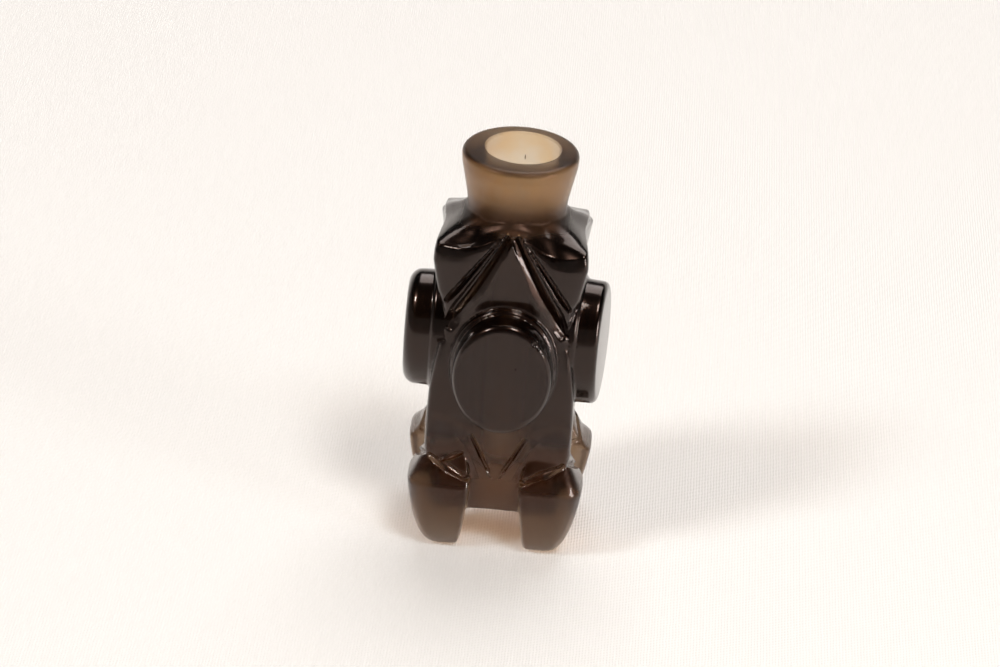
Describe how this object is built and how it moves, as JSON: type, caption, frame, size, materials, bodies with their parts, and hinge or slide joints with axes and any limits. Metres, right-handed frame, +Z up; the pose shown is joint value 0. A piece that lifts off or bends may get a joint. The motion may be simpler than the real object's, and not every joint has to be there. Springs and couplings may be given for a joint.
{
  "type": "carved crystal bottle",
  "caption": "Small square bottle carved from smoky crystal, with a flared neck, round bosses on its faces, eared shoulders and hoofed feet.",
  "frame": {"origin": "on the ground under the middle of the body", "axes": "+Z up through the mouth, front face towards -Y, +X to the right as seen from the front"},
  "size_m": [0.0356, 0.032, 0.073],
  "materials": {
    "smoky_crystal": "smoky rock crystal, highly polished on the body, satin on the neck and matt inside the mouth"
  },
  "bodies": {
    "root": {"carved_bottle": "smoky_crystal"}
  },
  "joints": []
}
